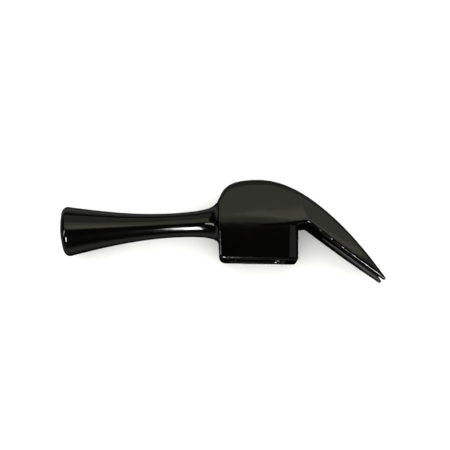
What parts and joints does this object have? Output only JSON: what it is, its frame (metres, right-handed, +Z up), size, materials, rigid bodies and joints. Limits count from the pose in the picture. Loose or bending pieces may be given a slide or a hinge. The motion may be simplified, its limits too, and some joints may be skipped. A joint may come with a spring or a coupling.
{
  "type": "claw tack hammer head",
  "caption": "Bare black claw tack hammer head: long flared round poll on a slim neck, rounded cheeks, square skirt with an open eye, curved split claw, magnet in the striking face.",
  "frame": {"origin": "on the surface that the head lies on, under the middle of its box. The belt line, where the cheeks meet the skirt, and the rim of the striking face touch that surface", "axes": "+X along the head from the striking face to the claw, +Y along the handle's axis from the handle side to the crown, +Z up, square to the head's middle plane"},
  "size_m": [0.123, 0.0384, 0.019],
  "materials": {
    "black_lacquer": "gloss black lacquer over forged steel",
    "brass": "turned, faced flush",
    "magnet": "ground end face"
  },
  "bodies": {
    "root": {"forged_head": "black_lacquer", "magnet_sleeve": "brass", "face_magnet": "magnet"}
  },
  "joints": []
}
